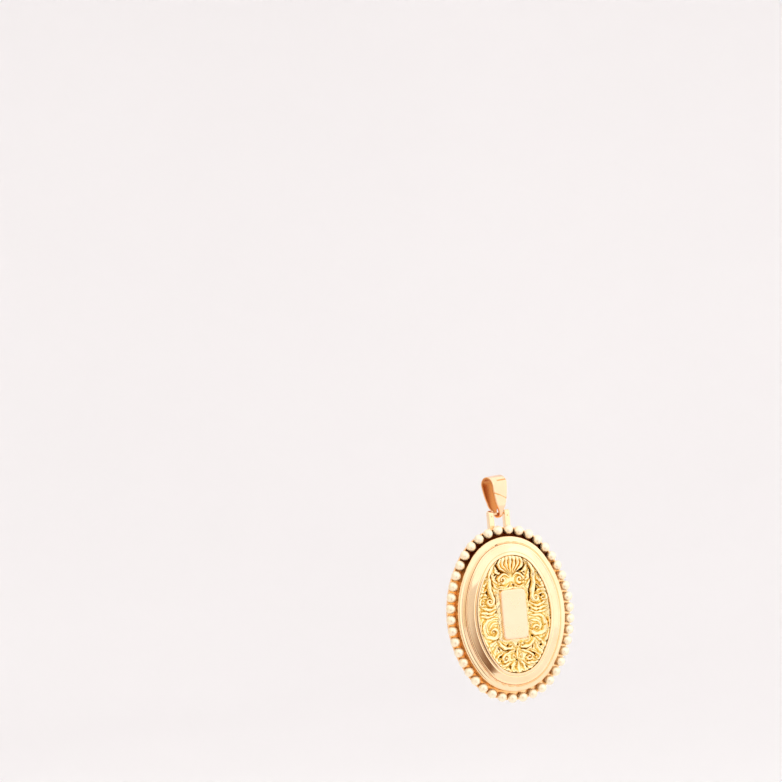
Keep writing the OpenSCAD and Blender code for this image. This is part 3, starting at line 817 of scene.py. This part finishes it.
bm = bmesh.new()
across, up = chasedPanel["cells"]
bmesh.ops.create_grid(bm, x_segments=across, y_segments=up, size=1)
co = np.array([v.co[:2] for v in bm.verts])
flatX = chasedPanel["sheet"][0] * co[:, 0] * np.sqrt(1 - co[:, 1] ** 2 / 2)
flatY = chasedPanel["sheet"][1] * co[:, 1] * np.sqrt(1 - co[:, 0] ** 2 / 2)
level = chasedLevel(flatX, flatY)
order = np.lexsort((np.round(co[:, 0], 6), np.round(co[:, 1], 6)))
sheet = level[order].reshape(up + 1, across + 1)
tarnish = chasedPanel["tarnish"]
# Spots below the blurred sheet round them are darkened: tarnish, and painted shade as the forms round them
# would cast
hollow = np.empty(len(level))
hollow[order] = (sum(share * blurred(sheet, reach) for reach, share in tarnish["blur"]) - sheet).ravel()
below = chasedPanel["ground"] - level
recess = smoothStep(tarnish["base"] + tarnish["hollow"] * hollow + tarnish["depth"] * below)
inset = ovalInset(flatX, flatY, chasedPanel["opening"])
least = tarnish["atEdge"]
recess *= least + (1 - least) * smoothStep((inset - tarnish["start"]) / tarnish["over"])
layer = bm.verts.layers.float.new("recess")
for vert, x, y, z, depth in zip(bm.verts, flatX, flatY, level, recess):
    vert.co = (x, y, z)
    vert[layer] = depth
rim = [e for e in bm.edges if e.is_boundary]
for wider, higher in chasedPanel["skirt"]:
    verts, rim = extrudeRing(bm, rim)
    if wider is None:
        grow = [b / a for a, b in zip(chasedPanel["sheet"], chasedPanel["edge"])]
    else:
        grow = [1 + wider / b for b in chasedPanel["edge"]]
    bmesh.ops.scale(bm, vec=(grow[0], grow[1], 1), verts=verts)
    bmesh.ops.translate(bm, vec=(0, 0, higher), verts=verts)
bmesh.ops.contextual_create(bm, geom=rim)
finishPiece("chasedPanel", bm, standUp, "relief_panel", chasedGold)


# Degrees round from straight in front to the right, and degrees up, as a direction
def direction(azimuth, elevation):
    a, e = math.radians(azimuth), math.radians(elevation)
    return Vector((math.sin(a) * math.cos(e), -math.cos(a) * math.cos(e), math.sin(e)))


# Studio: a pale paper floor that curves up into walls, under an even pale sky, in metres
studio = dict(
    floor=-0.16,                        # level of the floor
    flat=1.2, curve=0.8, wall=1.4,      # radius of the flat part and of the bend, height of the wall above it
    bendSteps=16, aroundSteps=96,
    paper=("#F0EEEE", "#F3F1F1"), cloud=0.5,
    sky="#FAF8F8", skyStrength=1.33,
)
bm = bmesh.new()
bowl = [bm.verts.new((x, 0, studio["floor"])) for x in (0, studio["flat"])]
bm.edges.new(bowl)
bend = sweep(bm, [bowl[1]], studio["bendSteps"], (studio["flat"], 0, studio["floor"] + studio["curve"]),
             (0, -1, 0), math.pi / 2)
wallTop = bmesh.ops.extrude_vert_indiv(bm, verts=vertsOf(bend))["verts"]
bmesh.ops.translate(bm, vec=(0, 0, studio["wall"]), verts=wallTop)
sweep(bm, bm.verts[:] + bm.edges[:], studio["aroundSteps"], axis=(0, 0, 1), turn=2 * math.pi, closed=True)
bmesh.ops.remove_doubles(bm, verts=bm.verts, dist=1e-5)
bmesh.ops.recalc_face_normals(bm, faces=bm.faces)
# Matt studio paper, pulled from a roll: no gloss, a very faint cloudiness
paper, tree = newMaterial("mattStudioPaper")
where = addNode(tree, "TexCoord", {}).outputs["Object"]
cloud = noise(tree, where, studio["cloud"], 2.0)
tone = ramp(tree, [(0.3, studio["paper"][0]), (0.7, studio["paper"][1])], cloud)
shader = addNode(tree, "BsdfPrincipled", {"Roughness": 0.9, "Specular IOR Level": 0.1}, {"Base Color": tone})
surface(tree, shader)
paperSweep = newObject("paperSweep", bm, paper)

world = bpy.data.worlds.new("paleRoom")
world.use_nodes = True
world.node_tree.nodes.clear()
sky = addNode(world.node_tree, "Background", {"Color": hexColour(studio["sky"]),
                                              "Strength": studio["skyStrength"]})
addNode(world.node_tree, "OutputWorld", {}, {"Surface": sky.outputs["Background"]})
bpy.context.scene.world = world

# Light tent: a wide ball of thin cloth lit from outside, so it glows all over, and less towards the left
tent = dict(
    radius=0.7, strength=1.31,
    bright=(40, 25),      # direction of the lamps
    open=0.3,             # how far behind the pendant the tent ends
    # From the side turned away from the lamps to the side turned to them
    glow=[(0.0, "#B8A690"), (0.22, "#D2C6B0"), (0.42, "#ECE6DA"), (0.66, "#FFFFFF")],
)
bm = bmesh.new()
bmesh.ops.create_uvsphere(bm, u_segments=64, v_segments=32, radius=tent["radius"])
behind = [f for f in bm.faces if f.calc_center_median().y > tent["open"]]
bmesh.ops.delete(bm, geom=behind, context="FACES")
# Thin white nylon with the lamps behind it: an even glow that fades softly away from them
nylon, tree = newMaterial("glowingNylon")
where = addNode(tree, "TexCoord", {}).outputs["Object"]
away = addNode(tree, "VectorMath", {"operation": "NORMALIZE"}, {0: where}).outputs["Vector"]
lamps = direction(*tent["bright"])
facing = addNode(tree, "VectorMath", {"operation": "DOT_PRODUCT", 1: lamps}, {0: away}).outputs["Value"]
glow = ramp(tree, tent["glow"], mapRange(tree, facing, -1, 1))
surface(tree, addNode(tree, "Emission", {"Strength": tent["strength"]}, {"Color": glow}))
lightTent = newObject("lightTent", bm, nylon)
lightTent.visible_camera = False
lightTent.location = ovalMiddle

# Softbox: it stands before the brightest part of the tent, at the front right and above
softbox = dict(distance=0.66, side=0.45, watts=0.16)
lamp = bpy.data.lights.new("softbox", "AREA")
lamp.size = softbox["side"]
lamp.energy = softbox["watts"]
softLight = bpy.data.objects.new("softbox", lamp)
softLight.matrix_world = (Matrix.Translation(ovalMiddle + lamps * softbox["distance"])
                          @ lamps.to_track_quat("Z", "Y").to_matrix().to_4x4())
softLight.visible_camera = False
bpy.context.scene.collection.objects.link(softLight)

# Glowing card in place of a dark cloth: it hangs below the camera and shows only as a painted reflection in
# the frame's lower left
glowingReflectionCard = dict(
    azimuth=-21, elevation=-14, distance=0.17, size=(0.088, 0.2), lean=5,
    slant=(-3.9, 2.6, 0.0),      # which way and how fast its tone changes
    tones=[(0.0, "#F2E6DE"), (0.1, "#C4AC9C"), (0.3, "#80604C"), (0.5, "#A28878"), (0.69, "#CEBCB0"),
           (0.94, "#F0E8E2")],
)
bm = bmesh.new()
bmesh.ops.create_grid(bm, x_segments=8, y_segments=24, size=0.5,
                      matrix=Matrix.Diagonal((glowingReflectionCard["size"][0], glowingReflectionCard["size"][1], 1, 1)))
# Painted reflection: the card glows with the tones of dim brown felt instead of being lit, with painted light
# making its two ends paler
cardGlow, tree = newMaterial("paintedReflectionGlow")
where = addNode(tree, "TexCoord", {}).outputs["Object"]
slant = addNode(tree, "VectorMath", {"operation": "DOT_PRODUCT", 1: glowingReflectionCard["slant"]},
                {0: where}).outputs["Value"]
tone = ramp(tree, glowingReflectionCard["tones"], mapRange(tree, slant, -0.3, 0.25))
surface(tree, addNode(tree, "Emission", {"Strength": 1.0}, {"Color": tone}))
reflectionCard = newObject("glowingReflectionCard", bm, cardGlow)
away = direction(glowingReflectionCard["azimuth"], glowingReflectionCard["elevation"])
reflectionCard.matrix_world = (Matrix.Translation(ovalMiddle + away * glowingReflectionCard["distance"])
                      @ away.to_track_quat("Z", "Y").to_matrix().to_4x4()
                      @ Matrix.Rotation(math.radians(glowingReflectionCard["lean"]), 4, "Z"))
reflectionCard.visible_camera = False
reflectionCard.visible_diffuse = False
reflectionCard.visible_shadow = False
print("studio made")


# Camera, set where the photo was taken from
viewpoint = dict(
    azimuth=-21, elevation=4,     # from the pendant's left and a little above
    lean=4.9,                     # degrees that the picture leans
    distance=0.8, lens=166.5, sensor=36, frame=782,
    aim=(509.8, 613.6),           # where the middle of the ring of beads falls in the picture
)
towards = direction(viewpoint["azimuth"], viewpoint["elevation"])
right = Vector((0, 0, 1)).cross(towards).normalized()
upward = towards.cross(right)
lean = math.radians(viewpoint["lean"])
axisX = math.cos(lean) * right - math.sin(lean) * upward
axisY = math.sin(lean) * right + math.cos(lean) * upward
basis = Matrix((axisX, axisY, towards)).transposed()
half = viewpoint["frame"] / 2
pixel = viewpoint["sensor"] / viewpoint["frame"] / viewpoint["lens"]
offset = Vector(((viewpoint["aim"][0] - half) * pixel, (half - viewpoint["aim"][1]) * pixel, -1)).normalized()
turnIn = offset.rotation_difference(Vector((0, 0, -1))).to_matrix()
camera = bpy.data.cameras.new("camera")
camera.lens = viewpoint["lens"]
camera.sensor_width = viewpoint["sensor"]
eye = bpy.data.objects.new("camera", camera)
spot = ovalMiddle + towards * viewpoint["distance"]
eye.matrix_world = Matrix.Translation(spot) @ (basis @ turnIn).to_4x4()
bpy.context.scene.collection.objects.link(eye)
bpy.context.scene.camera = eye
bpy.context.scene.view_settings.view_transform = "Standard"

bpy.context.view_layer.update()
